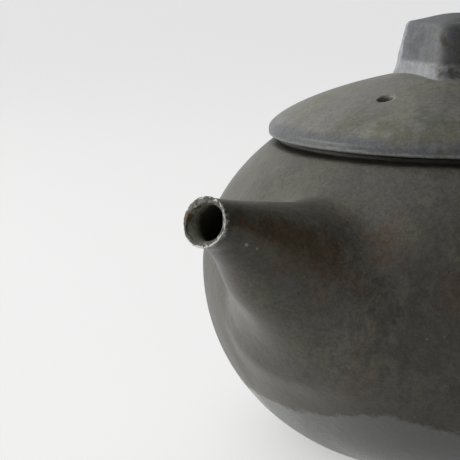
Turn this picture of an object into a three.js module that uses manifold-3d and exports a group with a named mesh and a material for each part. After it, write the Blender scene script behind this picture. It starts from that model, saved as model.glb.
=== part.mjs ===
// A Japanese side-handled teapot (kyusu) in dark unglazed stoneware, in millimetres, +Z up.
// The origin is the centre of the flat base. The spout points along -X and the handle along -Y,
// so a right hand on the handle pours to its left. The thrown pieces, luted together with slip before
// firing, are separate solids here: body, spout, strainer, handle, lid, the lid's ring and its knob.
import * as THREE from "three";
import { mergeVertices } from "three/addons/utils/BufferGeometryUtils.js";
import Module from "manifold-3d";

const wasm = await Module();
wasm.setup();

// Driving dimensions
const SLIP_GAP = 0.3; // between luted pieces, and between the seated lid and the rim
const SEGMENTS = 48; // around the body and the lid

const BODY_RADIUS = 58; // widest, at BELLY_HEIGHT
const BELLY_HEIGHT = 40.35;
const SHOULDER_RISE = 42.8; // the upper curve's height if it ran on to the axis
const SHOULDER_POWER = 1.815; // 2 is an ellipse, less is more conical
const UNDERSIDE_DROP = 46; // the same for the lower curve
const UNDERSIDE_POWER = 2.456;
const BODY_WALL = 3.4;
const FLOOR_THICKNESS = 4.4;
const BASE_EDGE = 1.2; // height of the small bevel round the flat base

const NECK_HEIGHT = 1.1; // the low upright rim above the shoulder
const SHOULDER_TOP = 68.9;
const RIM_OUTER_RADIUS = (BODY_RADIUS * 20) / 29;
const MOUTH_RADIUS = RIM_OUTER_RADIUS - 3.6;

const LID_RADIUS = RIM_OUTER_RADIUS + 2.8;
const LID_EDGE = 1.8; // height of the lid's upright edge
const LID_DOME_RISE = 13.8; // from the top of that edge to the crown
const LID_DOME_POWER = 1.474;
const LID_WALL = 3.2;
const RING_CLEARANCE = 0.5; // between the lid's ring and the mouth
const RING_WALL = 3;
const RING_DEPTH = 8.5;

const KNOB_FOOT = 25; // side of the square knob's flared foot
const KNOB_BASE = 22.6; // side just above that foot
const KNOB_TOP = 20;
const KNOB_RISE = 10.2; // from the lid's crown to the knob's upper edges
const KNOB_DOME = 1.9; // the swell of its top above those edges
const KNOB_CORNER = 2.6; // corner radius seen from above
const LID_TURN = -27.6; // degrees: how the lid is turned in its seat
const VENT_RADIUS = 1.6;
const VENT_DISTANCE = 27.7; // from the lid's centre
const VENT_ANGLE = 206; // degrees round the lid, before LID_TURN

const SPOUT_RISE = 23; // degrees above the horizontal at the mouth
const SPOUT_SAG = 5; // how far the axis has curved down at the root
const SPOUT_REACH = 86.8; // from the pot's axis to the centre of the mouth
const SPOUT_MOUTH_HEIGHT = 61.7;
const SPOUT_MOUTH_RADIUS = 4.95;
const SPOUT_MOUTH_WALL = 1.1;
const SPOUT_MOUTH_TILT = 14; // degrees: the cut mouth faces this far above the horizontal
const SPOUT_ROOT_RADIUS = 23.6;
const SPOUT_CONE = 0.25; // share of the widening that is a plain cone, the rest is flare
const SPOUT_FLARE = 1.4;
const SPOUT_LENGTH = 56; // along its axis, from the mouth to inside the body wall
const SPOUT_ROOT_WALL = 3;
const SPOUT_SEGMENTS = 32;

const STRAINER_RADIUS = 15;
const STRAINER_WALL = 1.8;
const STRAINER_HOLE = 0.8; // radius
const STRAINER_RINGS = 3;
const STRAINER_SPREAD = 52; // degrees from the axis to the outermost ring of holes

const HANDLE_ANGLE = 90; // degrees round from the spout
const HANDLE_RISE = 13; // degrees above the horizontal
const HANDLE_ROOT_HEIGHT = 34; // where its axis meets the pot's axis
const HANDLE_LENGTH = 66; // outside the body
const HANDLE_ROOT_RADIUS = 10.5;
const HANDLE_NECK_RADIUS = 9.4;
const HANDLE_END_RADIUS = 14;
const HANDLE_WALL = 3;
const HANDLE_SOLID = 8; // solid clay between the body and the bore
const HANDLE_SEGMENTS = 28;

const RIM_TOP = SHOULDER_TOP + NECK_HEIGHT;
const LID_BOTTOM = RIM_TOP + SLIP_GAP;
const LID_CROWN = LID_BOTTOM + LID_EDGE + LID_DOME_RISE;
const radians = THREE.MathUtils.degToRad;

// A three.js geometry as a manifold solid, and back
function solid(geometry) {
  const bare = geometry.clone();
  bare.deleteAttribute("normal");
  bare.deleteAttribute("uv");
  const merged = mergeVertices(bare, 1e-3);
  return new wasm.Manifold(
    new wasm.Mesh({
      numProp: 3,
      vertProperties: new Float32Array(merged.attributes.position.array),
      triVerts: new Uint32Array(merged.index.array),
    }),
  );
}

function geometryOf(manifold) {
  const mesh = manifold.getMesh();
  const geometry = new THREE.BufferGeometry();
  geometry.setAttribute("position", new THREE.BufferAttribute(mesh.vertProperties, 3));
  geometry.setIndex(new THREE.BufferAttribute(mesh.triVerts, 1));
  geometry.computeVertexNormals();
  return geometry;
}

// A turned solid about +Z from [radius, height] pairs, anticlockwise in the r-z plane
function turned(profile, segments) {
  const points = profile.map(([r, z]) => new THREE.Vector2(Math.max(r, 0), z));
  const lathe = new THREE.LatheGeometry(points, segments);
  return lathe.rotateX(Math.PI / 2);
}

// A curve from (radius, z) towards (0, z + rise), upright where it starts, between two angles
function quarter(radius, z, rise, power, steps, from, to) {
  return Array.from({ length: steps + 1 }, (_, i) => {
    const angle = from + ((to - from) * i) / steps;
    return [radius * Math.cos(angle) ** (2 / power), z + rise * Math.sin(angle)];
  });
}

// The lid's dome, from (radius, z) to (0, z + rise)
function domeCurve(radius, z, rise, power, steps) {
  return Array.from({ length: steps + 1 }, (_, i) => {
    const angle = (i / steps) * (Math.PI / 2);
    return [radius * Math.cos(angle) ** (2 / power), z + rise * Math.sin(angle) ** (2 / power)];
  });
}

// The body's outer curve from one height up to another, taken in by a wall thickness
function bodyCurve(wall, bottom, top, steps) {
  const drop = UNDERSIDE_DROP - wall;
  const climb = SHOULDER_RISE - wall;
  const low = Math.asin((BELLY_HEIGHT - bottom) / drop);
  const high = Math.asin((top - BELLY_HEIGHT) / climb);
  const lower = quarter(BODY_RADIUS - wall, BELLY_HEIGHT, -drop, UNDERSIDE_POWER, steps, low, 0);
  const upper = quarter(BODY_RADIUS - wall, BELLY_HEIGHT, climb, SHOULDER_POWER, steps, 0, high);
  return [...lower, ...upper.slice(1)];
}

// The body filled solid, with every surface moved out by grow
function filledBody(grow) {
  const curve = bodyCurve(-grow, BASE_EDGE, SHOULDER_TOP, 9);
  const profile = [
    [0, -grow],
    [curve[0][0] - BASE_EDGE, -grow],
    ...curve,
    [RIM_OUTER_RADIUS + grow, SHOULDER_TOP + grow],
    [0, SHOULDER_TOP + grow],
  ];
  return solid(turned(profile, SEGMENTS));
}

// The space inside the body, with every surface moved in by shrink
function bodyHollow(shrink) {
  const bottom = FLOOR_THICKNESS + shrink;
  const curve = bodyCurve(BODY_WALL + shrink, bottom, SHOULDER_TOP - shrink - 1, 8);
  const mouth = MOUTH_RADIUS - shrink;
  const profile = [
    [0, bottom],
    ...curve,
    [mouth, SHOULDER_TOP],
    [mouth, RIM_TOP + 1],
    [0, RIM_TOP + 1],
  ];
  return solid(turned(profile, SEGMENTS));
}

// Places a shape made along +Z so that +Z points outwards and up along the spout or the handle
function aim(manifold, roundFromSpout, rise, distance, height) {
  const turn = new THREE.Matrix4().makeRotationZ(Math.PI + radians(roundFromSpout));
  const out = new THREE.Matrix4().makeTranslation(distance, 0, height);
  const tip = new THREE.Matrix4().makeRotationY(Math.PI / 2 - radians(rise));
  return manifold.transform(turn.multiply(out).multiply(tip).elements);
}

// The spout's radius at a share of its length from the mouth: a cone that flares towards the body
function spoutRadius(share, mouth, root) {
  return mouth + (root - mouth) * (SPOUT_CONE * share + (1 - SPOUT_CONE) * share ** SPOUT_FLARE);
}

// A round shape along the spout, its mouth at the origin and its axis curving down towards the root
function alongSpout(mouth, root, steps, overrun) {
  const side = Array.from({ length: steps + 1 }, (_, i) => {
    const share = 1 - i / steps;
    return [spoutRadius(share, mouth, root), -share * SPOUT_LENGTH];
  });
  const profile = [[0, -SPOUT_LENGTH], ...side, [mouth, overrun], [0, overrun]];
  const geometry = turned(profile, SPOUT_SEGMENTS);
  const points = geometry.attributes.position;
  for (let i = 0; i < points.count; i++) {
    const share = Math.max(0, -points.getZ(i) / SPOUT_LENGTH);
    points.setX(i, points.getX(i) + SPOUT_SAG * share ** 2);
  }
  return aim(solid(geometry), 0, SPOUT_RISE, SPOUT_REACH, SPOUT_MOUTH_HEIGHT);
}

function spoutBore() {
  const mouth = SPOUT_MOUTH_RADIUS - SPOUT_MOUTH_WALL;
  return alongSpout(mouth, SPOUT_ROOT_RADIUS - SPOUT_ROOT_WALL, 9, 8);
}

// A half space beyond the cut mouth of the spout
function beyondMouth() {
  const size = 60;
  const block = solid(new THREE.BoxGeometry(size, size, size).translate(0, 0, size / 2));
  return aim(block, 0, SPOUT_MOUTH_TILT, SPOUT_REACH, SPOUT_MOUTH_HEIGHT);
}

function spout() {
  const outside = alongSpout(SPOUT_MOUTH_RADIUS, SPOUT_ROOT_RADIUS, 10, 4);
  const shell = outside.subtract(spoutBore()).subtract(beyondMouth());
  return shell.subtract(filledBody(SLIP_GAP));
}

// The height of the spout's axis at a distance from the pot's axis
function spoutAxisHeight(distance) {
  const tilt = radians(SPOUT_RISE);
  const share = Math.min(1, (SPOUT_REACH - distance) / (SPOUT_LENGTH * Math.cos(tilt)));
  return SPOUT_MOUTH_HEIGHT - SPOUT_LENGTH * share * Math.sin(tilt) - SPOUT_SAG * share ** 2 * Math.cos(tilt);
}

function wallOpening() {
  const radius = STRAINER_RADIUS - STRAINER_WALL - 1;
  const drill = solid(new THREE.CylinderGeometry(radius, radius, BODY_RADIUS * 0.7, SPOUT_SEGMENTS).rotateX(Math.PI / 2));
  return aim(drill, 0, SPOUT_RISE, BODY_RADIUS, spoutAxisHeight(BODY_RADIUS));
}

function bodyShell() {
  const curve = bodyCurve(0, BASE_EDGE, SHOULDER_TOP, 9);
  const profile = [
    [0, 0],
    [curve[0][0] - BASE_EDGE, 0],
    ...curve,
    [RIM_OUTER_RADIUS, SHOULDER_TOP + 0.15],
    [RIM_OUTER_RADIUS, RIM_TOP],
    [0, RIM_TOP],
  ];
  const outside = solid(turned(profile, SEGMENTS));
  return outside.subtract(bodyHollow(0)).subtract(wallOpening());
}

// A pierced half ball that covers the opening to the spout from inside
function strainer() {
  const inside = STRAINER_RADIUS - STRAINER_WALL;
  const outer = solid(new THREE.SphereGeometry(STRAINER_RADIUS, 24, 14).rotateX(Math.PI / 2));
  const inner = solid(new THREE.SphereGeometry(inside, 24, 14).rotateX(Math.PI / 2));
  let ball = outer.subtract(inner);
  const needle = new THREE.CylinderGeometry(STRAINER_HOLE, STRAINER_HOLE, STRAINER_RADIUS, 6);
  needle.rotateX(Math.PI / 2).translate(0, 0, -STRAINER_RADIUS);
  const holes = [];
  for (let ring = 0; ring <= STRAINER_RINGS; ring++) {
    const lean = (ring / STRAINER_RINGS) * radians(STRAINER_SPREAD);
    const count = ring === 0 ? 1 : ring * 6;
    for (let i = 0; i < count; i++) {
      const around = ((i + ring / 2) / count) * 2 * Math.PI;
      holes.push(solid(needle.clone().rotateX(lean).rotateZ(around)));
    }
  }
  ball = ball.subtract(wasm.Manifold.union(holes));
  const seat = BODY_RADIUS - BODY_WALL;
  const placed = aim(ball, 0, SPOUT_RISE, seat, spoutAxisHeight(seat));
  const shell = placed.intersect(bodyHollow(SLIP_GAP));
  const parts = shell.decompose().sort((a, b) => b.volume() - a.volume());
  return parts[0];
}

function handle() {
  const start = BODY_RADIUS - 12;
  const end = BODY_RADIUS + HANDLE_LENGTH;
  const steps = 9;
  const radiusAt = (share) => {
    const waist = HANDLE_ROOT_RADIUS + (HANDLE_NECK_RADIUS - HANDLE_ROOT_RADIUS) * Math.min(1, share / 0.35);
    const spread = Math.max(0, (share - 0.3) / 0.7);
    return waist + (HANDLE_END_RADIUS - HANDLE_NECK_RADIUS) * spread ** 1.5;
  };
  const along = (i) => start + ((end - start) * i) / steps;
  const side = Array.from({ length: steps + 1 }, (_, i) => [radiusAt(i / steps), along(i)]);
  const outside = solid(turned([[0, start], ...side, [0, end]], HANDLE_SEGMENTS));
  const boreStart = BODY_RADIUS + HANDLE_SOLID;
  const boreSide = side
    .filter(([, z]) => z > boreStart)
    .map(([r, z]) => [r - HANDLE_WALL, z]);
  const last = boreSide[boreSide.length - 1][0];
  const bore = solid(
    turned([[0, boreStart], [boreSide[0][0] - 1, boreStart], ...boreSide, [last, end + 2], [0, end + 2]], HANDLE_SEGMENTS),
  );
  const tube = outside.subtract(bore);
  return aim(tube, HANDLE_ANGLE, HANDLE_RISE, 0, HANDLE_ROOT_HEIGHT).subtract(filledBody(SLIP_GAP));
}

function lidDome() {
  const edgeTop = LID_BOTTOM + LID_EDGE;
  const seatInner = MOUTH_RADIUS - RING_CLEARANCE - RING_WALL - 0.4;
  const under = domeCurve(seatInner, LID_BOTTOM, LID_CROWN - LID_BOTTOM - LID_WALL, 1.75, 7);
  const over = domeCurve(LID_RADIUS, edgeTop, LID_DOME_RISE, LID_DOME_POWER, 10);
  const profile = [...under.reverse(), [LID_RADIUS - 0.6, LID_BOTTOM], [LID_RADIUS, LID_BOTTOM + 0.5], ...over];
  const dome = solid(turned(profile, SEGMENTS));
  const angle = radians(VENT_ANGLE);
  const vent = new THREE.CylinderGeometry(VENT_RADIUS, VENT_RADIUS, LID_DOME_RISE * 2, 16).rotateX(Math.PI / 2);
  vent.translate(VENT_DISTANCE * Math.cos(angle), VENT_DISTANCE * Math.sin(angle), LID_CROWN - 4);
  return dome.subtract(solid(vent));
}

function lidRing() {
  const outer = MOUTH_RADIUS - RING_CLEARANCE;
  const inner = outer - RING_WALL;
  const top = LID_BOTTOM - SLIP_GAP;
  const bottom = top - RING_DEPTH;
  const profile = [
    [inner, bottom + 0.6],
    [inner + 0.8, bottom],
    [outer - 1.2, bottom],
    [outer - 0.3, bottom + 1],
    [outer, top],
    [inner, top],
    [inner, bottom + 0.6],
  ];
  return solid(turned(profile, SEGMENTS));
}

// A rounded square, as a ring of points at a height
function roundedSquare(side, corner, z) {
  const half = side / 2 - corner;
  const points = [];
  for (let quarterTurn = 0; quarterTurn < 4; quarterTurn++) {
    for (let i = 0; i <= 4; i++) {
      const angle = (quarterTurn + i / 4) * (Math.PI / 2);
      const cx = quarterTurn === 0 || quarterTurn === 3 ? half : -half;
      const cy = quarterTurn < 2 ? half : -half;
      points.push([cx + corner * Math.cos(angle), cy + corner * Math.sin(angle), z]);
    }
  }
  return points;
}

// A closed solid through rings of points, each ring above the one before
function loft(rings) {
  const count = rings[0].length;
  const positions = rings.flat(2);
  const index = [];
  for (let r = 0; r < rings.length - 1; r++) {
    for (let i = 0; i < count; i++) {
      const a = r * count + i;
      const b = r * count + ((i + 1) % count);
      index.push(a, b, b + count, a, b + count, a + count);
    }
  }
  const last = (rings.length - 1) * count;
  for (let i = 1; i < count - 1; i++) {
    index.push(0, i + 1, i);
    index.push(last, last + i, last + i + 1);
  }
  const geometry = new THREE.BufferGeometry();
  geometry.setAttribute("position", new THREE.BufferAttribute(new Float32Array(positions), 3));
  geometry.setIndex(index);
  return geometry;
}

function knob() {
  const edge = LID_CROWN + KNOB_RISE;
  const rings = [
    roundedSquare(KNOB_FOOT, KNOB_CORNER, LID_CROWN - 6),
    roundedSquare(KNOB_FOOT, KNOB_CORNER, LID_CROWN - 1.6),
    roundedSquare(KNOB_BASE, KNOB_CORNER, LID_CROWN + 0.6),
    roundedSquare(KNOB_TOP, KNOB_CORNER, edge - 0.8),
    roundedSquare(KNOB_TOP - 1.4, KNOB_CORNER, edge + 0.2),
    roundedSquare(KNOB_TOP * 0.72, KNOB_CORNER, edge + KNOB_DOME * 0.66),
    roundedSquare(KNOB_TOP * 0.4, KNOB_CORNER, edge + KNOB_DOME),
  ];
  const block = solid(loft(rings));
  const rise = LID_DOME_RISE + SLIP_GAP;
  const over = domeCurve(LID_RADIUS, LID_BOTTOM + LID_EDGE, rise, LID_DOME_POWER, 10);
  const filledLid = solid(turned([[0, LID_BOTTOM], [LID_RADIUS, LID_BOTTOM], ...over], SEGMENTS));
  return block.subtract(filledLid);
}

const stoneware = new THREE.MeshStandardMaterial({ color: 0x4a4943, roughness: 0.6, metalness: 0 });
const stonewareLid = new THREE.MeshStandardMaterial({ color: 0x56554e, roughness: 0.55, metalness: 0 });

function piece(name, manifold, material) {
  const mesh = new THREE.Mesh(geometryOf(manifold), material.clone());
  mesh.name = name;
  return mesh;
}

const pot = new THREE.Group();
pot.add(
  piece("body_shell", bodyShell(), stoneware),
  piece("spout", spout(), stoneware),
  piece("strainer", strainer(), stoneware),
  piece("handle", handle(), stoneware),
);

const lid = new THREE.Group();
lid.add(
  piece("lid_dome", lidDome(), stonewareLid),
  piece("lid_ring", lidRing(), stonewareLid),
  piece("lid_knob", knob(), stonewareLid),
);
lid.rotation.z = radians(LID_TURN);

const kyusu = new THREE.Group();
kyusu.add(pot, lid);

export default kyusu;
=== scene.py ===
# Side-handled stoneware teapot: the clay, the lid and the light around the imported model
import math

import bpy
import bmesh
import numpy as np
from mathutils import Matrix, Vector, noise


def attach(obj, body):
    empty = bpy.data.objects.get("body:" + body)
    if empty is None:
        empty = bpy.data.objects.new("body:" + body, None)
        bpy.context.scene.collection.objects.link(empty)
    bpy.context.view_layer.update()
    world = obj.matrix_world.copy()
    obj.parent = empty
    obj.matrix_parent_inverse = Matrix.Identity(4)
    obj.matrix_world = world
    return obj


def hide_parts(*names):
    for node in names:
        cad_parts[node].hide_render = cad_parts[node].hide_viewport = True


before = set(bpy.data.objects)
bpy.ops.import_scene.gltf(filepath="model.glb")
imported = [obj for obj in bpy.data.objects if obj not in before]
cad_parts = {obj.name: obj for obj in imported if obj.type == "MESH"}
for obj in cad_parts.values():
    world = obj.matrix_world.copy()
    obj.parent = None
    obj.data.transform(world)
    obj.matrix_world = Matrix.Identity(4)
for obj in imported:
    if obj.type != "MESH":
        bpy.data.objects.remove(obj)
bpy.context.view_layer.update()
mm = 0.001


# Small helpers

def smoothStep(x):
    x = np.clip(x, 0.0, 1.0)
    return x * x * (3 - 2 * x)


def hump(run, runs):
    # rises between the first two runs and fades between the last two
    up, full, still, gone = runs
    return smoothStep((run - up) / (full - up)) * (1 - smoothStep((run - still) / (gone - still)))


def runWhere(low, high, isPast):
    # halves the span between two runs until it closes on the place where isPast begins
    for _ in range(40):
        middle = (low + high) / 2
        past = isPast(middle)
        low = np.where(past, low, middle)
        high = np.where(past, middle, high)
    return (low + high) / 2


def unit(vectors):
    return vectors / (np.linalg.norm(vectors, axis=-1, keepdims=True) + 1e-9)


def roughly(points, waves, seed):
    # soft noise at each point, from -1 to 1, with so many waves to the millimetre
    shift = Vector((seed * 17.3, seed * 9.1, seed * 5.7))
    flat = points.reshape(-1, 3)
    values = [noise.noise(Vector(p) * waves + shift) for p in flat]
    return np.array(values).reshape(points.shape[:-1])


def layered(points, layers):
    # a few noises together, each with its waves, its seed and its depth in millimetres
    return sum(roughly(points, waves, seed) * depth for waves, seed, depth in layers)


def wobble(points, sizes):
    # one slow noise, from nothing to its full depth
    waves, seed, depth = sizes
    return (roughly(points, waves, seed) * 0.5 + 0.5) * depth


throwing = (0.035, 1, 0.12)  # waves to the millimetre, seed, depth in millimetres


def unevenThrow(points):
    # the thrower's slow unevenness, only inwards, the same wherever two pieces of clay meet
    moved = points.copy()
    moved[..., :2] -= unit(points[..., :2]) * wobble(points, throwing)[..., None]
    return moved


def storeOn(piece, label, values):
    layer = piece.data.attributes.new(label, "FLOAT", "POINT")
    layer.data.foreach_set("value", np.asarray(values, np.float32).ravel())


def meshFromRings(name, rings, ends=None):
    # rings is (count, around, 3) in millimetres; two ends close it, or else the last ring joins the first
    count, around = rings.shape[:2]
    verts = [tuple(v) for v in (rings.reshape(-1, 3) * mm)]
    faces = []
    for r in range(count - 1 if ends else count):
        low, high = r * around, ((r + 1) % count) * around
        for i in range(around):
            j = (i + 1) % around
            faces.append((low + i, low + j, high + j, high + i))
    if ends:
        first, last, base = len(verts), len(verts) + 1, (count - 1) * around
        verts += [tuple(np.array(point) * mm) for point in ends]
        faces += [(first, (i + 1) % around, i) for i in range(around)]
        faces += [(last, base + i, base + (i + 1) % around) for i in range(around)]
    mesh = bpy.data.meshes.new(name)
    mesh.from_pydata(verts, [], faces)
    mesh.validate()
    return mesh


def addPiece(name, mesh, materials):
    work = bmesh.new()
    work.from_mesh(mesh)
    bmesh.ops.recalc_face_normals(work, faces=work.faces)
    work.to_mesh(mesh)
    work.free()
    for face in mesh.polygons:
        face.use_smooth = True
    for material in materials:
        mesh.materials.append(material)
    piece = bpy.data.objects.new(name, mesh)
    bpy.context.scene.collection.objects.link(piece)
    return piece


def plainMesh(piece):
    # the piece's mesh as its modifiers leave it
    bpy.context.view_layer.update()
    mesh = bpy.data.meshes.new_from_object(piece.evaluated_get(bpy.context.evaluated_depsgraph_get()))
    piece.modifiers.clear()
    mesh.name = piece.name
    return mesh


def cutAway(piece, tool):
    # takes the tool's shape out of the piece
    cut = piece.modifiers.new("cut", "BOOLEAN")
    cut.object = tool
    cut.operation = "DIFFERENCE"
    cut.solver = "EXACT"
    piece.data = plainMesh(piece)
    bpy.data.objects.remove(tool)


def turnedRings(profile, around):
    # revolves [radius, height] points about the pot's axis
    angles = np.linspace(0, 2 * math.pi, around, endpoint=False)
    profile = np.array(profile, float)
    rings = np.zeros((len(profile), around, 3))
    rings[:, :, 0] = profile[:, :1] * np.cos(angles)
    rings[:, :, 1] = profile[:, :1] * np.sin(angles)
    rings[:, :, 2] = profile[:, 1:]
    return rings


def arcPoints(cx, cz, radius, start, end, steps):
    # points on an arc in the r-z plane, angles in degrees
    angles = np.radians(np.linspace(start, end, steps))
    return [[cx + radius * math.cos(a), cz + radius * math.sin(a)] for a in angles]


def ovalPoints(radius, bottom, rise, power, angles):
    # points on a quarter of a squarish oval in the r-z plane, angles in degrees
    return [[radius * math.cos(a) ** (2 / power), bottom + rise * math.sin(a) ** (2 / power)]
            for a in np.radians(angles)]


# Clay materials

def addNode(tree, kind, **values):
    node = tree.nodes.new(kind)
    for key, value in values.items():
        if hasattr(node, key):
            setattr(node, key, value)
        else:
            node.inputs[key.replace("_", " ")].default_value = value
    return node


def grainNoise(tree, coords, scale, detail=2.0, roughness=0.5, distortion=0.0):
    node = addNode(tree, "ShaderNodeTexNoise", Scale=scale, Detail=detail, Roughness=roughness,
                   Distortion=distortion)
    tree.links.new(coords, node.inputs["Vector"])
    return node.outputs["Fac"]


def rangeOf(tree, value, low, high, toLow=0.0, toHigh=1.0):
    node = addNode(tree, "ShaderNodeMapRange")
    node.interpolation_type = "SMOOTHSTEP"
    node.inputs["From Min"].default_value = low
    node.inputs["From Max"].default_value = high
    node.inputs["To Min"].default_value = toLow
    node.inputs["To Max"].default_value = toHigh
    tree.links.new(value, node.inputs["Value"])
    return node.outputs["Result"]


def mixColour(tree, amount, below, above):
    node = addNode(tree, "ShaderNodeMix")
    node.data_type = "RGBA"
    for socket, value in ((node.inputs[0], amount), (node.inputs[6], below), (node.inputs[7], above)):
        if isinstance(value, tuple):
            socket.default_value = (*value, 1.0)
        else:
            tree.links.new(value, socket)
    return node.outputs[2]


def mathNode(tree, operation, a, b=0.0):
    node = addNode(tree, "ShaderNodeMath", operation=operation)
    for socket, value in ((node.inputs[0], a), (node.inputs[1], b)):
        if isinstance(value, (int, float)):
            socket.default_value = value
        else:
            tree.links.new(value, socket)
    return node.outputs[0]


def offMiddle(tree, value, middle, amount):
    # how far a noise is from its middle value, times an amount
    return mathNode(tree, "MULTIPLY", mathNode(tree, "SUBTRACT", value, middle), amount)


def weighted(tree, *parts):
    # the sum of values times their weights
    total = None
    for value, weight in parts:
        share = mathNode(tree, "MULTIPLY", value, weight)
        total = share if total is None else mathNode(tree, "ADD", total, share)
    return total


clayGrain = {
    # noise waves to the metre
    "drift": 26, "green": 60, "rust": 52, "blotch": 330, "fine": 900, "grain": 2300,
    "turning": (20, 20, 900),
    # the noise values between which each colour comes in
    "driftSpan": (0.38, 0.62), "greenSpan": (0.48, 0.62), "rustSpan": (0.50, 0.64),
    "toneSpan": (0.38, 0.62), "glossSpan": (0.25, 0.75),
    # how ragged the blotches make a mark, the pared foot's edge and a worn edge with its painted glints
    "markRagged": 2.4, "footRagged": 2.6, "wearAndGlintRagged": 2.2,
    # a mark's full core, a band's lower edge, a speck's size in its cell, and the depth of the relief
    "markCore": 0.35, "bandSoft": 0.0002, "speckSize": 0.13, "bumpDepth": 0.00022,
    # the values between which a speck, the pared foot and wear with its painted glints come in
    "speckSpan": (-0.05, 0.03), "footSpan": (1.7, 2.8), "wearAndGlintSpan": (0.35, 0.75), "wearAndGlintFrom": (0.02, 0.2),
}


def makeClay(name, look):
    # one recipe for every piece: the look gives its colours, grain, marks and sheen
    g = clayGrain
    material = bpy.data.materials.new(name)
    material.use_nodes = True
    tree = material.node_tree
    tree.nodes.clear()
    out = addNode(tree, "ShaderNodeOutputMaterial")
    shader = addNode(tree, "ShaderNodeBsdfPrincipled")
    tree.links.new(shader.outputs[0], out.inputs["Surface"])
    coords = addNode(tree, "ShaderNodeTexCoord").outputs["Object"]

    def moved(shift, scale=(1, 1, 1)):
        node = addNode(tree, "ShaderNodeMapping")
        node.inputs["Location"].default_value = shift
        node.inputs["Scale"].default_value = scale
        tree.links.new(coords, node.inputs["Vector"])
        return node.outputs["Vector"]

    place = moved(look["shift"])
    other = moved((0.31, 0.12, 0.47))

    # firing colours: slow drift, greenish patches and rusty flashes
    drift = rangeOf(tree, grainNoise(tree, place, g["drift"], 3), *g["driftSpan"])
    colour = mixColour(tree, drift, look["dark"], look["light"])
    green = grainNoise(tree, place, g["green"], 4, 0.62, 0.5)
    green = rangeOf(tree, green, *g["greenSpan"], 0.0, look["greenAmount"])
    colour = mixColour(tree, green, colour, look["green"])
    rust = grainNoise(tree, other, g["rust"], 4, 0.62, 0.6)
    rust = rangeOf(tree, rust, *g["rustSpan"], 0.0, look["rustAmount"])
    colour = mixColour(tree, rust, colour, look["rust"])

    # grain of the clay, used for tone, gloss and relief
    blotch = grainNoise(tree, other, g["blotch"], 3, 0.6)
    fine = grainNoise(tree, place, g["fine"], 3, 0.6)
    grain = grainNoise(tree, place, g["grain"], 2, 0.6)

    # level bands of another tone, among them painted shade and a painted highlight, their edges as uneven as
    # the look says
    parts = addNode(tree, "ShaderNodeSeparateXYZ")
    tree.links.new(coords, parts.inputs[0])
    height = mathNode(tree, "ADD", parts.outputs["Z"], offMiddle(tree, blotch, 0.5, look["ragged"]))
    for low, high, soft, tint, amount in look["bands"]:
        above = rangeOf(tree, height, low - g["bandSoft"], low + g["bandSoft"])
        under = rangeOf(tree, height, high + soft, high - soft, 0.0, amount)
        colour = mixColour(tree, mathNode(tree, "MULTIPLY", above, under), colour, tint)

    # marks that sit in one place: middle and radius in millimetres, colour, strength
    for middle, radius, tint, amount in look["marks"]:
        away = addNode(tree, "ShaderNodeVectorMath", operation="DISTANCE")
        tree.links.new(coords, away.inputs[0])
        away.inputs[1].default_value = Vector(middle) * mm
        ragged = offMiddle(tree, blotch, 0.5, radius * mm * g["markRagged"])
        reach = mathNode(tree, "ADD", away.outputs["Value"], ragged)
        strength = rangeOf(tree, reach, radius * mm, radius * mm * g["markCore"], 0.0, amount)
        colour = mixColour(tree, strength, colour, tint)

    tone = weighted(tree, (fine, 0.4), (grain, 0.35), (blotch, 0.25))
    tone = rangeOf(tree, tone, *g["toneSpan"], 1 - look["grain"], 1 + look["grain"])
    scaled = addNode(tree, "ShaderNodeVectorMath", operation="SCALE")
    tree.links.new(colour, scaled.inputs[0])
    tree.links.new(tone, scaled.inputs["Scale"])
    colour = scaled.outputs[0]

    # pale grains of felspar and dark pits: cells to the metre, their share, strength, colour, relief
    relief = 0.0
    for density, share, strength, tint, lift in look["specks"]:
        cells = addNode(tree, "ShaderNodeTexVoronoi", Scale=density)
        tree.links.new(place, cells.inputs["Vector"])
        split = addNode(tree, "ShaderNodeSeparateColor")
        tree.links.new(cells.outputs["Color"], split.inputs[0])
        size = mathNode(tree, "MULTIPLY", split.outputs[1], g["speckSize"])
        near = rangeOf(tree, mathNode(tree, "SUBTRACT", size, cells.outputs["Distance"]), *g["speckSpan"])
        dot = mathNode(tree, "MULTIPLY", near, mathNode(tree, "GREATER_THAN", split.outputs[0], 1 - share))
        colour = mixColour(tree, mathNode(tree, "MULTIPLY", dot, strength), colour, tint)
        relief = mathNode(tree, "ADD", relief, mathNode(tree, "MULTIPLY", dot, lift))

    # the pared foot is greyer and glossier, with a broken upper boundary; its paler colour is partly painted
    # reflection of the pale floor, and in the bore the same mask gives painted shade
    footAndBoreShade = addNode(tree, "ShaderNodeAttribute", attribute_name="footAndBoreShade").outputs["Fac"]
    broken = offMiddle(tree, mathNode(tree, "ADD", blotch, fine), 1.0, g["footRagged"])
    foot = rangeOf(tree, mathNode(tree, "ADD", footAndBoreShade, broken), *g["footSpan"])
    colour = mixColour(tree, mathNode(tree, "MULTIPLY", foot, look["footAmount"]), colour, look["foot"])

    # worn and chipped edges, with painted glints on them, from the piece's own attribute
    wearAndGlint = addNode(tree, "ShaderNodeAttribute", attribute_name="wearAndGlint").outputs["Fac"]
    patchy = offMiddle(tree, mathNode(tree, "ADD", fine, grain), 1.0, g["wearAndGlintRagged"])
    rubAndGlint = rangeOf(tree, mathNode(tree, "ADD", wearAndGlint, patchy), *g["wearAndGlintSpan"])
    rubAndGlint = mathNode(tree, "MULTIPLY", rubAndGlint, rangeOf(tree, wearAndGlint, *g["wearAndGlintFrom"]))
    colour = mixColour(tree, rubAndGlint, colour, look["rubbedAndGlint"])
    tree.links.new(colour, shader.inputs["Base Color"])

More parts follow.
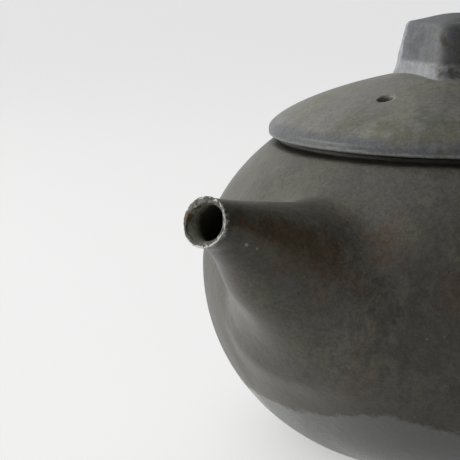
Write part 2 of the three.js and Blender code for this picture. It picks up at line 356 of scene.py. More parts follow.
    gloss = weighted(tree, (fine, 0.5), (drift, 0.5))
    gloss = rangeOf(tree, gloss, *g["glossSpan"], look["smooth"], look["rough"])
    gloss = mathNode(tree, "SUBTRACT", gloss, mathNode(tree, "MULTIPLY", foot, look["footGloss"]))
    tree.links.new(gloss, shader.inputs["Roughness"])
    shader.inputs["Specular IOR Level"].default_value = look["shine"]
    shader.inputs["Coat Weight"].default_value = look["coat"]
    shader.inputs["Coat Roughness"].default_value = look["coatRough"]

    # turning marks run round the pot, much finer along the height
    turning = grainNoise(tree, moved((0, 0, 0), g["turning"]), 1.0, 3, 0.6)
    bumps = weighted(tree, (grain, 0.5), (fine, 1.0), (blotch, 0.9), (turning, look["turning"]),
                     (relief, 1.0))
    bump = addNode(tree, "ShaderNodeBump", Strength=look["bump"], Distance=g["bumpDepth"])
    tree.links.new(bumps, bump.inputs["Height"])
    tree.links.new(bump.outputs[0], shader.inputs["Normal"])
    return material


brown, rustRed = (0.066, 0.046, 0.025), (0.088, 0.057, 0.036)
moss, tan, rustStain = (0.062, 0.064, 0.042), (0.086, 0.076, 0.056), (0.095, 0.056, 0.028)
potLook = {
    "dark": (0.042, 0.038, 0.029), "light": (0.076, 0.071, 0.058),
    "green": (0.060, 0.061, 0.042), "greenAmount": 0.75, "rust": (0.066, 0.050, 0.035), "rustAmount": 0.4,
    "specks": [(520.0, 0.10, 0.45, (0.22, 0.21, 0.19), 0.8), (1150.0, 0.28, 0.4, (0.15, 0.145, 0.13), 0.5),
               (460.0, 0.10, 0.7, (0.016, 0.015, 0.012), -1.2),
               (1300.0, 0.32, 0.6, (0.018, 0.016, 0.013), -0.9)],
    # the rubbed colour shows on worn places and partly stands for painted glints
    "grain": 0.31, "rubbedAndGlint": (0.30, 0.29, 0.27), "ragged": 0.0008, "smooth": 0.36, "rough": 0.54,
    "shine": 0.30, "coat": 0.10, "coatRough": 0.3, "bump": 0.42, "turning": 0.27,
    # the foot's paler colour is partly painted reflection of the pale floor
    "shift": (0.0, 0.0, 0.0), "foot": (0.125, 0.127, 0.125), "footAmount": 0.85, "footGloss": 0.18,
    # a dark band round the groove under the lid's edge: painted shade
    "bands": [(0.0684, 0.0710, 0.0001, (0.014, 0.012, 0.010), 0.9)],
    "marks": [
        # a rusty stain behind the mouth
        ((-82.4, -5.2, 61.5), 2.2, (0.075, 0.045, 0.026), 0.6),
        ((-80.0, -6.0, 60.3), 2.0, (0.080, 0.044, 0.025), 0.65),
        # two dark places, beside the spout and on the shoulder, on the side turned from the light: painted
        # shade
        ((-50.5, -28.0, 38.0), 16.0, (0.034, 0.032, 0.026), 0.8),
        ((-41.0, -22.0, 65.5), 9.0, (0.042, 0.040, 0.034), 0.5),
        # a brown flush along the spout, turning red where it meets the body
        ((-76.5, -6.8, 59.6), 6.0, brown, 0.75), ((-71.0, -8.8, 56.8), 7.5, brown, 0.8),
        ((-65.5, -11.3, 53.6), 8.0, brown, 0.75), ((-52.0, -17.2, 57.0), 6.5, rustRed, 0.55),
        ((-54.5, -18.3, 53.0), 4.5, rustRed, 0.45), ((-60.0, -15.5, 49.2), 4.0, rustRed, 0.5),
        ((-65.9, -11.3, 46.7), 3.0, rustRed, 0.35), ((-48.0, -31.5, 46.0), 6.0, (0.062, 0.043, 0.028), 0.6),
        # a tan patch over the spout's root, mossy ones beside and under it
        ((-54.0, -7.0, 62.2), 7.0, tan, 0.5), ((-49.0, -20.7, 57.6), 4.0, moss, 0.6),
        ((-68.0, -7.0, 44.5), 5.0, moss, 0.5), ((-73.6, -2.6, 46.0), 7.0, (0.066, 0.070, 0.048), 0.6),
        # three pale grains
        ((-52.8, -21.9, 51.2), 0.34, (0.42, 0.40, 0.36), 0.9),
        ((-80.9, -5.4, 57.5), 0.42, (0.32, 0.31, 0.29), 0.8),
        ((-78.7, -6.0, 56.5), 0.38, (0.32, 0.31, 0.29), 0.7),
        # a painted highlight in a warm tone on the far side of the spout, two pits, and a grey patch low
        # down
        ((-58.5, 17.0, 39.5), 7.0, (0.130, 0.115, 0.098), 0.55),
        ((-55.2, -22.2, 41.6), 0.7, (0.012, 0.011, 0.008), 0.8),
        ((-55.6, -21.6, 40.5), 0.8, (0.014, 0.012, 0.009), 0.7),
        ((-50.7, -18.5, 21.0), 5.0, (0.055, 0.056, 0.050), 0.3)],
}
lidLook = dict(
    potLook, dark=(0.095, 0.094, 0.082), light=(0.148, 0.146, 0.128), shift=(0.2, 0.1, 0.0), ragged=0.0012,
    grain=0.27, green=(0.118, 0.120, 0.084), greenAmount=0.75, rust=(0.102, 0.094, 0.078), rustAmount=0.5,
    # a blue-grey band round the lid's upright edge, and a pale line along its lower rounded edge that is
    # painted highlight
    bands=[(0.069, 0.0738, 0.0007, (0.068, 0.071, 0.077), 0.85),
           (0.069, 0.0710, 0.0002, (0.20, 0.20, 0.197), 0.6)],
    marks=[  # mossy patches towards the spout, and two pale ones among them
        ((-37.9, 2.5, 76.1), 5.0, (0.080, 0.082, 0.050), 0.7),
        ((-38.3, -6.6, 75.6), 5.0, (0.078, 0.080, 0.048), 0.75),
        ((-39.0, -10.8, 74.9), 4.5, (0.076, 0.078, 0.046), 0.7),
        ((-35.0, -17.8, 75.3), 6.0, (0.066, 0.068, 0.040), 0.75),
        ((-32.2, -13.5, 77.6), 5.0, (0.056, 0.060, 0.036), 0.7),
        ((-36.5, -2.0, 76.9), 3.0, (0.060, 0.064, 0.040), 0.6),
        ((-40.2, -3.4, 74.6), 2.4, (0.150, 0.148, 0.120), 0.8),
        ((-39.4, -8.0, 74.7), 2.0, (0.135, 0.134, 0.105), 0.7)])
paleEdge = (0.33, 0.345, 0.38)
knobLook = dict(
    lidLook, shift=(0.4, 0.3, 0.1), dark=(0.062, 0.065, 0.068), light=(0.092, 0.096, 0.102),
    green=(0.062, 0.075, 0.072), greenAmount=0.6, rust=(0.085, 0.080, 0.078),
    rubbedAndGlint=(0.26, 0.265, 0.27), grain=0.22, bands=[(0.0820, 0.0872, 0.0006, (0.26, 0.265, 0.275), 0.7)],
    marks=[  # a tan side, dark places at a corner and at the foot, and a paler edge
        ((-6.0, -9.8, 90.5), 11.0, (0.090, 0.084, 0.066), 0.95),
        # a lighter olive patch on the tan side: painted highlight
        ((-1.5, -11.0, 90.0), 6.0, (0.120, 0.118, 0.092), 0.7),
        # painted shade just past a corner and at the foot on that side
        ((-13.8, -4.4, 93.2), 2.3, (0.028, 0.028, 0.029), 0.8),
        ((-12.5, -6.0, 84.6), 3.0, (0.050, 0.050, 0.040), 0.75),
        ((-9.5, -8.0, 84.6), 3.6, (0.050, 0.050, 0.040), 0.75),
        ((-5.8, 13.4, 87.5), 3.0, paleEdge, 0.75), ((-5.5, 13.0, 91.0), 2.8, paleEdge, 0.75),
        ((-5.3, 12.4, 94.5), 2.8, paleEdge, 0.7), ((-9.6, 5.4, 91.6), 5.0, (0.040, 0.047, 0.056), 0.65)])
# the dark broken line round the mouth's upper left, in this colour on both the lip and the bore, is painted
# shadow under the broad lip's inner edge
lipShadow = (0.012, 0.011, 0.009)
mouthMarks = [  # a rusty stain inside the mouth and a dark broken line round its upper left
    ((-86.5, 4.1, 62.4), 1.4, rustStain, 0.85), ((-86.0, 2.7, 64.0), 0.6, lipShadow, 0.95),
    ((-85.8, 2.0, 64.5), 0.55, lipShadow, 0.95), ((-85.7, 1.0, 65.1), 0.55, lipShadow, 0.95),
    ((-85.8, -0.9, 65.0), 0.5, lipShadow, 0.8), ((-87.0, 3.4, 60.4), 0.9, (0.030, 0.028, 0.020), 0.8)]
# the cut lip's face: its near-white rubbed colour is partly wear and partly painted glints
lipLook = dict(
    potLook, dark=(0.060, 0.056, 0.046), light=(0.12, 0.115, 0.10), rust=(0.06, 0.045, 0.03), rustAmount=0.5,
    grain=0.55, smooth=0.5, rough=0.75, shine=0.4, coat=0.0, bump=0.9, shift=(0.05, 0.02, 0.03),
    rubbedAndGlint=(0.56, 0.55, 0.52), bands=[], marks=mouthMarks)
# the bore's clay: paler than the outside, partly its own colour and partly painted light near the mouth; its
# foot colour is painted shade deeper in the bore
rawLookWithPaintedLight = dict(
    potLook, dark=(0.26, 0.26, 0.21), light=(0.40, 0.40, 0.33), coat=0.0, smooth=0.6, rough=0.8, bands=[],
    grain=0.4, green=(0.29, 0.31, 0.24), rust=(0.29, 0.24, 0.17), marks=mouthMarks,
    foot=(0.040, 0.040, 0.032), footAmount=0.95, footGloss=0.0)
handleLook = dict(potLook, bands=[], marks=[], shift=(0.13, 0.07, 0.21))
burnishedClay = makeClay("burnishedClay", potLook)
handleClay = makeClay("handleClay", handleLook)
lidClay = makeClay("lidClay", lidLook)
knobClay = makeClay("knobClay", knobLook)
cutLipClay = makeClay("cutLipClay", lipLook)
rawClayWithPaintedLight = makeClay("rawClayWithPaintedLight", rawLookWithPaintedLight)
print("clay ready")


# The body: thrown round, turned smooth, with an upright lip inside the lid's edge

bodySizes = {
    "radius": 58.0, "belly": 40.35, "shoulderRise": 42.8, "shoulderPower": 1.815,
    "undersideDrop": 46.0, "undersidePower": 2.456, "wall": 3.4, "floor": 4.4, "around": 192,
    "shoulderTop": 68.9, "rimTop": 70.0, "rimOuter": 40.0, "mouth": 36.4, "rimRound": 0.45,
    "crease": 0.7, "creaseOut": 0.75, "creaseUp": 0.62, "footEdge": 2.0,
    # the hand-cut line above the foot: its height, its rise on the spout's side, and its unevenness
    "footCut": 15.4, "footRise": 3.6, "footRiseAngle": -164.0, "footRiseWidth": 13.0,
    "footUneven": (0.15, 32, 0.7), "footSoft": 2.0, "footDeep": 9.0,
}


def bodyRadius(z, inset=0.0):
    # the body's outer radius at a height, or the inner one with the wall as inset
    s = bodySizes
    z = np.asarray(z, float)
    below = z < s["belly"]
    span = np.where(below, s["undersideDrop"], s["shoulderRise"]) - inset
    power = np.where(below, s["undersidePower"], s["shoulderPower"])
    share = np.clip(np.abs(z - s["belly"]) / span, 0, 0.999)
    return (s["radius"] - inset) * (1 - share ** 2) ** (1 / power)


def heightsBetween(low, high, steps, inset=0.0):
    # heights spaced evenly along the curve rather than up the axis
    z = np.linspace(low, high, 400)
    r = bodyRadius(z, inset)
    run = np.concatenate([[0], np.cumsum(np.hypot(np.diff(r), np.diff(z)))])
    return np.interp(np.linspace(0, run[-1], steps), run, z)


def belowFootLine(points):
    # how far a point is under the hand-cut line above the foot, starting a little above it
    s = bodySizes
    angle = np.degrees(np.arctan2(points[..., 1], points[..., 0]))
    away = (angle - s["footRiseAngle"] + 180) % 360 - 180
    line = s["footCut"] + s["footRise"] * np.exp(-(away / s["footRiseWidth"]) ** 2)
    line = line + layered(points, [s["footUneven"]])
    return np.clip(line - points[..., 2] + s["footSoft"], 0, s["footDeep"])


def makeBody():
    s = bodySizes
    low, rim, top = s["footEdge"], s["rimRound"], s["rimTop"]
    # the base's rounded edge touches the underside's curve and the flat base
    slope = float(bodyRadius(low + 0.02) - bodyRadius(low - 0.02)) / 0.04
    lean = math.degrees(math.atan(slope))
    bend = low / (1 - math.sin(math.radians(lean)))
    flat = float(bodyRadius(low)) - bend * math.cos(math.radians(lean))
    profile = [[r, 0.0] for r in np.linspace(2, flat - 0.8, 12)]
    profile += arcPoints(flat, bend, bend, -90, -lean, 12)
    profile += [[float(bodyRadius(z)), z] for z in heightsBetween(low + 0.5, s["shoulderTop"] - 0.5, 96)]
    profile += arcPoints(s["rimOuter"] + s["creaseOut"], s["shoulderTop"] + s["creaseUp"], s["crease"],
                         -85, -175, 6)
    profile += arcPoints(s["rimOuter"] - rim, top - rim, rim, 0, 90, 5)
    profile += [[r, top] for r in np.linspace(s["rimOuter"] - 0.8, s["mouth"] + 0.8, 4)]
    profile += arcPoints(s["mouth"] + rim, top - rim, rim, 90, 180, 5)
    profile += [[s["mouth"], top - 1.2], [s["mouth"] + 0.1, s["shoulderTop"] - 0.7]]
    inner = heightsBetween(s["floor"] + 1.2, s["shoulderTop"] - 2.2, 70, s["wall"])[::-1]
    profile += [[float(bodyRadius(z, s["wall"])), z] for z in inner]
    profile += [[r, s["floor"]] for r in np.linspace(float(bodyRadius(s["floor"], s["wall"])) - 2.5, 2, 10)]
    rings = unevenThrow(turnedRings(profile, s["around"]))
    mesh = meshFromRings("body", rings, ((0, 0, 0), (0, 0, s["floor"])))
    piece = addPiece("body", mesh, [burnishedClay])
    # the outside and the base are pared, the inside isn't; the pared foot's paler colour is partly painted
    # reflection
    outside = np.linalg.norm(rings[..., :2], axis=-1) > bodyRadius(rings[..., 2]) - 1.0
    footAndBoreShade = np.where(outside | (rings[..., 2] < 0.1), belowFootLine(rings), 0).ravel()
    storeOn(piece, "footAndBoreShade", np.append(footAndBoreShade, (s["footDeep"], 0.0)))
    return piece


body = makeBody()
print("body made", len(body.data.vertices))


# The spout and the handle: round clay set on the body, the seams smoothed over with slip

class Limb:
    # a round limb on the body: its centre line, its radius, and its place in the pot
    def __init__(self, origin, along, across, radiusAt, bendAt, fullnessAt=None):
        self.origin = np.array(origin, float)
        self.along = np.array(along, float)  # points away from the pot
        self.across = np.array(across, float)
        self.side = np.cross(self.along, self.across)
        self.radiusAt = radiusAt
        self.bendAt = bendAt
        self.fullnessAt = fullnessAt or (lambda run, cosine: np.zeros_like(run))

    def point(self, run, angle, radius=None):
        # on the skin, so far from the free end and turned so far round
        run = np.asarray(run, float)
        if radius is None:
            radius = self.radiusAt(run) + self.fullnessAt(run, np.cos(angle))
        x = radius * np.cos(angle) + self.bendAt(run)
        y = radius * np.sin(angle)
        return (self.origin - run[..., None] * self.along + x[..., None] * self.across
                + y[..., None] * self.side)

    def fromAxis(self, p):
        q = p - self.origin
        return np.hypot(q @ self.across - self.bendAt(-(q @ self.along)), q @ self.side)

    def outside(self, p):
        # roughly how far a point is outside the limb
        q = p - self.origin
        run = -(q @ self.along)
        x = q @ self.across - self.bendAt(run)
        away = np.hypot(x, q @ self.side)
        return away - self.radiusAt(run) - self.fullnessAt(run, x / (away + 1e-6))


def outsideBody(p):
    # roughly how far a point is outside the body
    r = np.hypot(p[..., 0], p[..., 1])
    z = p[..., 2]
    slope = (bodyRadius(z + 0.05) - bodyRadius(z - 0.05)) / 0.1
    return (r - bodyRadius(z)) / np.sqrt(1 + slope ** 2)


def gradient(field, p):
    # which way a field grows, and how fast
    step = 0.02
    axes = [np.array(v, float) * step for v in ((1, 0, 0), (0, 1, 0), (0, 0, 1))]
    return np.stack([(field(p + a) - field(p - a)) / (2 * step) for a in axes], -1)


def settleOn(field, p, rounds=7):
    # moves points on to the surface where the field is zero
    for _ in range(rounds):
        g = gradient(field, p)
        p = p - (field(p) / ((g ** 2).sum(-1) + 1e-6))[..., None] * g
    return p


# how the skirt is walked out over the body, and how far its last part sinks in
skirtSizes = {"reach": 60.0, "strides": 150, "stride": 0.3, "past": 1.04, "sinkShare": 0.78, "sink": 0.03}


def limbSurface(limb, angles, startRun, filletAt, steps, blendSteps):
    # rings from the free end to a skirt that runs out on the body
    k = skirtSizes

    def joined(p):
        # the nearer of the two surfaces, eased over where they meet
        a, b = limb.outside(p), outsideBody(p)
        fillet = filletAt(p)
        h = np.clip(fillet - np.abs(a - b), 0, None) / fillet
        return np.minimum(a, b) - h ** 3 * fillet / 6

    crossing = runWhere(startRun, np.full_like(startRun, startRun.max() + k["reach"]),
                        lambda run: outsideBody(limb.point(run, angles)) < 0)
    alongRings = [limb.point(startRun + (crossing - startRun) * t, angles) for t in np.linspace(0, 1, steps)]
    # walk out over the body until the fillet has run out
    p = limb.point(crossing, angles)
    path = [p]
    for _ in range(k["strides"]):
        normal = unit(gradient(outsideBody, p))
        away = gradient(limb.fromAxis, p)
        away = unit(away - (away * normal).sum(-1, keepdims=True) * normal)
        reached = limb.outside(p) > filletAt(p) * k["past"]
        p = np.where(reached[..., None], p, settleOn(outsideBody, p + away * k["stride"], 2))
        path.append(p)
    path = np.array(path)
    lengths = np.cumsum(np.linalg.norm(np.diff(path, axis=0), axis=-1), axis=0)
    lengths = np.concatenate([np.zeros((1, len(angles))), lengths])
    shares = np.linspace(0, 1, blendSteps)[1:]
    skirt = np.zeros((len(shares), len(angles), 3))
    for i in range(len(angles)):
        run = lengths[:, i]
        stop = max(1, int(np.searchsorted(run, run[-1] - 1e-6))) + 1
        for axis in range(3):
            skirt[:, i, axis] = np.interp(shares * run[-1], run[:stop], path[:stop, i, axis])
    rings = settleOn(joined, np.concatenate([alongRings, skirt]))
    normal = unit(gradient(outsideBody, rings))
    sink = smoothStep((shares - k["sinkShare"]) / (1 - k["sinkShare"])) * k["sink"]
    return unevenThrow(rings - normal * np.concatenate([np.zeros(steps), sink])[:, None, None])


spoutSizes = {
    # the axis, its sag, and the mouth's place, tilt and turn
    "rise": 22.84, "sag": 6.18, "reach": 86.65, "mouthHeight": 61.92, "aside": 0.15,
    "mouthRadius": 4.84, "mouthWall": 1.1, "mouthTilt": 16.2, "mouthYaw": 4.0, "around": 192,
    # the cone, and how it closes again inside the pot
    "rootRadius": 24.75, "rootWall": 3.0, "cone": 0.18, "flare": 1.35, "length": 56.0,
    "rootRun": 40.0, "closing": 1.1, "closingEase": 5.0,
    # the underside is drawn in behind the lip and fuller further on, at these runs
    "tuck": 1.3, "tuckRuns": (0, 5, 10, 20), "under": 1.2, "underRuns": (3, 21, 20, 38),
    "lobeFrom": -0.35, "lobePower": 1.5, "undercut": 0.05, "undercutRun": 4.2, "undercutPower": 0.55,
    # the slip over the seam: below, at the sides and above, and the heights between which it changes
    "slipUnder": 15.0, "slipSide": 7.0, "slipOver": 8.0, "slipHeights": (34, 60), "slipAside": 20.0,
    # the cut lip: its thickness round the mouth, its chips and nicks, its wear and painted glints
    "lipThin": 0.62, "lipLow": 0.75, "lowAngle": 12.0, "lowPower": 4.0,
    "lipBroad": 1.6, "broadAngle": 208.0, "broadPower": 1.8, "lipRound": 0.14, "lipRoundPower": 5,
    "lipShares": (0.0, 0.12, 0.28, 0.44, 0.6, 0.76, 0.9, 1.0), "lipToSkin": 0.28,
    "jag": [(1.1, 8, 0.30), (3.1, 9, 0.16)], "chips": [(0.75, 3, 0.20), (2.2, 5, 0.16)],
    "nicks": [(0.9, 41, 0.22), (2.6, 42, 0.16)], "jagLeast": 0.25, "nickShares": (0.4, 0.8, 1.0),
    "chipLimits": (-0.02, 0.3), "nickLimits": (-0.01, 0.3),
    "wearAndGlintAngle": 70.0, "wearAndGlint": 0.55, "wearAndGlintSwing": 0.5, "wearAndGlintFrom": 0.52, "wearAndGlintOver": 0.4, "wearAndGlintLeast": 0.1,
    "wearAndGlintSkin": (0.75, 0.35, 0.05),
    # the bore: how it opens at the lip, how deep it runs into the wall, and its painted shade deeper in
    "boreFlare": 2.2, "boreBack": 0.25, "boreInset": 0.3, "boreDeep": 1.6, "boreShade": 0.9, "boreShadeSlope": 0.4,
    # rings along the cone, over the skirt and down the bore, and how they crowd towards the lip
    "coneRings": 72, "skirtRings": 30, "boreRings": 40, "boreCrowd": 1.6,
}


def spoutLimb(isBore=False):
    # the spout's outside, or its bore
    s = spoutSizes
    rise = math.radians(s["rise"])
    mouth = s["mouthRadius"] - (s["mouthWall"] if isBore else 0)
    root = s["rootRadius"] - (s["rootWall"] if isBore else 0)

    def radiusAt(run):
        share = np.clip(run / s["length"], 0, 1.2)
        grown = mouth + (root - mouth) * (s["cone"] * share + (1 - s["cone"]) * share ** s["flare"])
        # inside the pot the cone closes again, so that the slip can run out below it
        past = np.clip(run - s["rootRun"], 0, None)
        return grown - s["closing"] * past ** 2 / (past + s["closingEase"])

    def bendAt(run):
        return s["sag"] * np.clip(run / s["length"], 0, None) ** 2

    def fullnessAt(run, cosine):
        # the bore follows the underside where that is drawn in, so that the wall stays as thick
        lobe = np.clip((cosine - s["lobeFrom"]) / (1 - s["lobeFrom"]), 0, 1) ** s["lobePower"]
        dip = s["tuck"] * hump(run, s["tuckRuns"])
        swell = s["under"] * hump(run, s["underRuns"])
        return -dip * lobe if isBore else (swell - dip) * lobe

    return Limb((-s["reach"], s["aside"], s["mouthHeight"]), (-math.cos(rise), 0, math.sin(rise)),
                (-math.sin(rise), 0, -math.cos(rise)), radiusAt, bendAt, fullnessAt)


def runToPlane(limb, angles, normal):
    # where each line along the limb meets the plane through its origin
    low, high = np.full_like(angles, -8.0), np.full_like(angles, 12.0)
    return runWhere(low, high, lambda run: (limb.point(run, angles) - limb.origin) @ normal <= 0)


def spoutLip(outer, angles, start, plane):
    # the cut lip: thin all round but for a broad dull place at the top left, chipped on its inner edge
    s = spoutSizes
    broad = np.clip(np.cos(angles - math.radians(s["broadAngle"])), 0, 1) ** s["broadPower"]
    lowest = np.clip(np.cos(angles - math.radians(s["lowAngle"])), 0, 1) ** s["lowPower"]
    thick = s["lipThin"] + (s["lipBroad"] - s["lipThin"]) * broad + s["lipLow"] * lowest
    outerEdge = outer.point(start, angles)
    innerEdge = outer.point(start, angles, outer.radiusAt(start) - thick)
    inward = outer.origin - innerEdge
    inward = unit(inward - (inward @ plane)[:, None] * plane)
    innerEdge = innerEdge - inward * (layered(innerEdge, s["jag"]) * (s["jagLeast"] + broad))[:, None]
    lip = []
    for t in s["lipShares"]:
        ring = innerEdge + (outerEdge - innerEdge) * t
        lip.append(ring - plane * s["lipRound"] * abs(2 * t - 1) ** s["lipRoundPower"])
    lip = np.array(lip)
    lip = lip - plane * np.clip(layered(lip, s["chips"]), *s["chipLimits"])[..., None]
    nick = np.clip(layered(lip[-1], s["nicks"]), *s["nickLimits"])
    for row, share in enumerate(s["nickShares"], -len(s["nickShares"])):
        lip[row] += inward * (nick * share)[:, None]
    return lip, innerEdge


def spoutBore(inner, angles, plane, innerEdge):
    # the bore, from inside the body's wall to the lip, opening out a little at its end
    s = spoutSizes
    start = runToPlane(inner, angles, plane)
    stop = runWhere(start, np.full_like(start, s["length"]),
                    lambda run: outsideBody(inner.point(run, angles)) < -s["boreDeep"])
    start = start + s["boreBack"]
    opening = innerEdge - plane * s["boreInset"] - inner.point(start, angles)
    bore = []
    for t in np.linspace(1, 0, s["boreRings"]) ** s["boreCrowd"]:
        ring = inner.point(start + (stop - start) * t, angles)
        run = np.linalg.norm(ring - innerEdge, axis=-1)
        bore.append(ring + opening * np.exp(-(run / s["boreFlare"]) ** 2)[:, None])
    return np.array(bore)


def makeSpout():
    s = spoutSizes
    angles = np.linspace(0, 2 * math.pi, s["around"], endpoint=False)
    tilt, yaw = math.radians(s["mouthTilt"]), math.radians(s["mouthYaw"])
    plane = np.array((-math.cos(tilt) * math.cos(yaw), -math.cos(tilt) * math.sin(yaw), math.sin(tilt)))
    outer = spoutLimb()
    start = runToPlane(outer, angles, plane)

    def filletAt(p):
        low, high = s["slipHeights"]
        under = s["slipUnder"] + s["slipSide"] * smoothStep(np.abs(p[..., 1]) / s["slipAside"])
        return under + (s["slipOver"] - under) * smoothStep((p[..., 2] - low) / (high - low))

    skin = limbSurface(outer, angles, start + s["lipToSkin"], filletAt, s["coneRings"], s["skirtRings"])
    # the outside draws in a little just behind the lip
    behind = np.linalg.norm(skin - skin[:1], axis=-1)
    draw = np.sin(np.pi * np.clip(behind / s["undercutRun"], 0, 1) ** s["undercutPower"]) ** 2
    inwards = unit(outer.origin - behind[..., None] * outer.along - skin)
    skin = skin + inwards * (s["undercut"] * draw)[..., None]
    lip, innerEdge = spoutLip(outer, angles, start, plane)
    bore = spoutBore(spoutLimb(True), angles, plane, innerEdge)

    rings = np.concatenate([bore, lip, skin])
    mesh = meshFromRings("spout", rings)
    piece = addPiece("spout", mesh, [burnishedClay, cutLipClay, rawClayWithPaintedLight])
    lipStart, skinStart = len(bore), len(bore) + len(lip)
    for index, face in enumerate(mesh.polygons):
        ring = index // s["around"]
        if ring < lipStart - 1:
            face.material_index = 2
        elif ring < skinStart - 1:
            face.material_index = 1
    # wear and painted glints on the lip's outer edge, strongest on the right and underneath
    wearAndGlint = np.zeros(rings.shape[:2])
    side = s["wearAndGlint"] + s["wearAndGlintSwing"] * np.cos(angles - math.radians(s["wearAndGlintAngle"]))
    for row, t in enumerate(s["lipShares"]):
        wearAndGlint[lipStart + row] = side * float(smoothStep((t - s["wearAndGlintFrom"]) / s["wearAndGlintOver"])) + s["wearAndGlintLeast"]
    for row, share in enumerate(s["wearAndGlintSkin"]):
        wearAndGlint[skinStart + row] = side * share
    storeOn(piece, "wearAndGlint", wearAndGlint)
    # the bore darkens a few millimetres behind the lip: painted shade deeper in the bore
    footAndBoreShade = np.zeros(rings.shape[:2])
    footAndBoreShade[skinStart:] = belowFootLine(skin)
    footAndBoreShade[:lipStart] = s["boreShade"] + np.linalg.norm(bore - bore[-1:], axis=-1) * s["boreShadeSlope"]
    storeOn(piece, "footAndBoreShade", footAndBoreShade)
    return piece


spout = makeSpout()
print("spout made", len(spout.data.vertices))


handleSizes = {
    "rise": 13.0, "rootHeight": 34.0, "start": 46.0, "end": 124.0, "rootRadius": 10.5, "neckRadius": 9.4,
    "endRadius": 14.0, "wall": 3.0, "boreStart": 66.0, "boreRound": 3.0, "slipFillet": 10.0, "around": 128,
    "waistShare": 0.42, "spreadShare": 0.3, "spreadPower": 1.5,
    # the rounded end: its depth and shape, and where the bore takes over from it
    "lipDepth": 1.0, "lipRound": 0.8, "boreStop": 1.4,
    # rings along the outside, over the skirt and down the bore, and those that close the root
    "skinRings": 54, "skirtRings": 22, "boreRings": 26, "rootShares": (0.3, 0.6),
}


def makeHandle():
    s = handleSizes
    angles = np.linspace(0, 2 * math.pi, s["around"], endpoint=False)
    rise = math.radians(s["rise"])
    along = np.array((0, -math.cos(rise), math.sin(rise)))
    tip = np.array((0, 0, s["rootHeight"])) + along * s["end"]
    length = s["end"] - s["start"]

    def radiusAt(run):
        share = np.clip(1 - run / length, -0.1, 1)
        waist = s["rootRadius"] + (s["neckRadius"] - s["rootRadius"]) * smoothStep(share / s["waistShare"])
        spread = np.clip((share - s["spreadShare"]) / (1 - s["spreadShare"]), 0, None)
        return waist + (s["endRadius"] - s["neckRadius"]) * spread ** s["spreadPower"]

    limb = Limb(tip, along, (0, -math.sin(rise), -math.cos(rise)), radiusAt, lambda run: np.zeros_like(run))

    def ringAt(run, radius):
        return limb.point(np.full_like(angles, run), angles, radius)

    skin = limbSurface(limb, angles, np.full_like(angles, s["lipDepth"]),
                       lambda p: np.full(p.shape[:-1], s["slipFillet"]), s["skinRings"], s["skirtRings"])
    middle, half = s["endRadius"] - s["wall"] / 2, s["wall"] / 2
    lip = [ringAt(s["lipDepth"] * (1 - math.cos(a) ** s["lipRound"]), middle + half * math.sin(a))
           for a in np.radians(np.linspace(-80, 80, 11))]
    boreEnd = s["end"] - s["boreStart"]
    boreRuns = np.linspace(boreEnd - s["boreRound"], s["boreStop"], s["boreRings"])
    boreRadii = radiusAt(boreRuns) - s["wall"]
    bore = [ringAt(run, radius) for run, radius in zip(boreRuns, boreRadii)]
    bottom = [ringAt(boreRuns[0] + s["boreRound"] * math.cos(a), boreRadii[0] * math.sin(a))
              for a in np.radians(np.linspace(10, 80, 6))]
    closing = skin[-1:]
    centre = closing.mean(axis=1, keepdims=True)
    root = np.concatenate([closing + (centre - closing) * t for t in s["rootShares"]])
    rings = np.concatenate([bottom, bore, lip, skin, root])
    mesh = meshFromRings("handle", rings, (limb.origin - limb.along * boreEnd, centre[0, 0]))
    return addPiece("handle", mesh, [handleClay])


handle = makeHandle()
print("handle made", len(handle.data.vertices))


# The opening in the body's wall behind the strainer

strainerSizes = {
    "radius": 15.0, "wall": 1.8, "edgeAngle": 96.0, "poleAngle": -87.0, "around": 72, "pressedIn": 0.05,
    "hole": 0.8, "holeSides": 14, "needle": 6.0, "rings": 3, "spread": 52.0,
    # the drill that opens the wall stays this far inside the strainer
    "drillInside": 1.0, "drillLength": 26.0, "drillSides": 64,
}


def spoutAxisHeight(distance):
    s = spoutSizes
    rise = math.radians(s["rise"])
    share = min(1.0, (s["reach"] - distance) / (s["length"] * math.cos(rise)))
    return (s["mouthHeight"] - s["length"] * share * math.sin(rise)
            - s["sag"] * share ** 2 * math.cos(rise))


def pierceWall():
    s = strainerSizes
    radius = (s["radius"] - s["wall"] - s["drillInside"]) * mm
    rise = math.radians(spoutSizes["rise"])
    distance = bodySizes["radius"]
    centre = Vector((-distance, 0, spoutAxisHeight(distance))) * mm
    along = Vector((-math.cos(rise), 0, math.sin(rise)))
    drill = bpy.data.meshes.new("drill")
    work = bmesh.new()
    bmesh.ops.create_cone(work, cap_ends=True, segments=s["drillSides"], radius1=radius, radius2=radius,
                          depth=s["drillLength"] * mm)
    turn = along.to_track_quat("Z", "Y").to_matrix().to_4x4()
    bmesh.ops.transform(work, matrix=turn, verts=work.verts)
    bmesh.ops.translate(work, vec=centre, verts=work.verts)
    work.to_mesh(drill)
    work.free()
    tool = bpy.data.objects.new("drill", drill)
    bpy.context.scene.collection.objects.link(tool)
    cutAway(body, tool)


pierceWall()
print("wall pierced", len(body.data.vertices))


# Geometry Nodes: the strainer's holes

def newTree(name, inputs):
    tree = bpy.data.node_groups.new(name, "GeometryNodeTree")
    tree.interface.new_socket("Geometry", in_out="INPUT", socket_type="NodeSocketGeometry")
    identifiers = {}
    for label, kind, value in inputs:
        socket = tree.interface.new_socket(label, in_out="INPUT", socket_type=kind)
        if value is not None:
            socket.default_value = value
        identifiers[label] = socket.identifier
    tree.interface.new_socket("Geometry", in_out="OUTPUT", socket_type="NodeSocketGeometry")
    start = tree.nodes.new("NodeGroupInput")
    end = tree.nodes.new("NodeGroupOutput")
    return tree, start, end, identifiers


